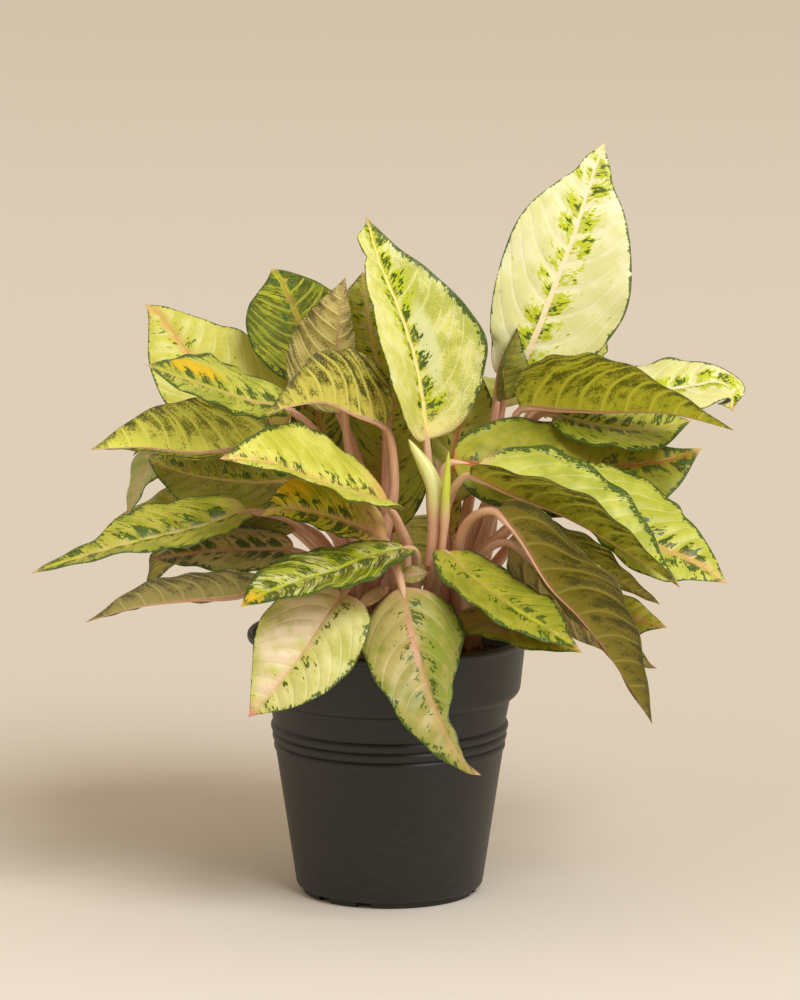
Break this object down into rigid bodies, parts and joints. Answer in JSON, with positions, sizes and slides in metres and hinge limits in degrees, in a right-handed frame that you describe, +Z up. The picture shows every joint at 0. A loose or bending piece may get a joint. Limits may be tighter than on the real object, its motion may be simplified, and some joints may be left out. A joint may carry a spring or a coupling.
{
  "type": "potted chinese evergreen",
  "caption": "bushy foliage plant with broad lime and dark green speckled leaves on pink stalks, growing from soil in a ridged round nursery pot",
  "frame": {"origin": "centre of the pot's underside, on the plane it rests on", "axes": "+Z up along the pot's axis, -Y the plant's front, +X its right as seen from the front"},
  "size_m": [0.5202, 0.3704, 0.5482],
  "materials": {
    "pot_plastic": "charcoal moulded plastic, satin-matt, with fine turned marks",
    "potting_soil": "dark brown crumbly potting soil",
    "leaf_blade": "soft satin leaf, lime with dark green speckled margins, pale curved veins and a pink midrib, olive below",
    "young_leaf": "smooth pale yellow-green rolled leaf",
    "leaf_stalk": "smooth dusty pink stalk, paler and greener on the newest shoot"
  },
  "bodies": {
    "root": {"pot": "pot_plastic", "soil": "potting_soil", "shoot_a": "leaf_stalk", "shoot_b": "leaf_stalk", "shoot_c": "leaf_stalk", "shoot_d": "leaf_stalk", "shoot_e": "leaf_stalk", "spear_1": "young_leaf", "spear_2": "young_leaf", "leaf_top_1": "leaf_blade", "leaf_top_2": "leaf_blade", "leaf_top_3": "leaf_blade", "leaf_top_4": "leaf_blade", "leaf_top_5": "leaf_blade", "leaf_top_6": "leaf_blade", "leaf_top_7": "leaf_blade", "leaf_right_1": "leaf_blade", "leaf_right_2": "leaf_blade", "leaf_right_3": "leaf_blade", "leaf_right_4": "leaf_blade", "leaf_right_5": "leaf_blade", "leaf_right_6": "leaf_blade", "leaf_right_7": "leaf_blade", "leaf_right_8": "leaf_blade", "leaf_right_9": "leaf_blade", "leaf_right_10": "leaf_blade", "leaf_right_11": "leaf_blade", "leaf_right_12": "leaf_blade", "leaf_front_1": "leaf_blade", "leaf_front_2": "leaf_blade", "leaf_front_3": "leaf_blade", "leaf_front_4": "leaf_blade", "leaf_front_5": "leaf_blade", "leaf_left_1": "leaf_blade", "leaf_left_2": "leaf_blade", "leaf_left_3": "leaf_blade", "leaf_left_4": "leaf_blade", "leaf_left_5": "leaf_blade", "leaf_left_6": "leaf_blade", "leaf_left_7": "leaf_blade", "leaf_left_8": "leaf_blade", "leaf_left_9": "leaf_blade", "leaf_left_10": "leaf_blade", "leaf_back_1": "leaf_blade", "leaf_back_2": "leaf_blade", "leaf_back_3": "leaf_blade", "leaf_back_4": "leaf_blade", "leaf_back_5": "leaf_blade", "leaf_back_6": "leaf_blade", "leaf_back_7": "leaf_blade", "leaf_back_8": "leaf_blade", "leaf_back_9": "leaf_blade", "bract_1": "leaf_blade", "bract_2": "leaf_blade"}
  },
  "joints": []
}
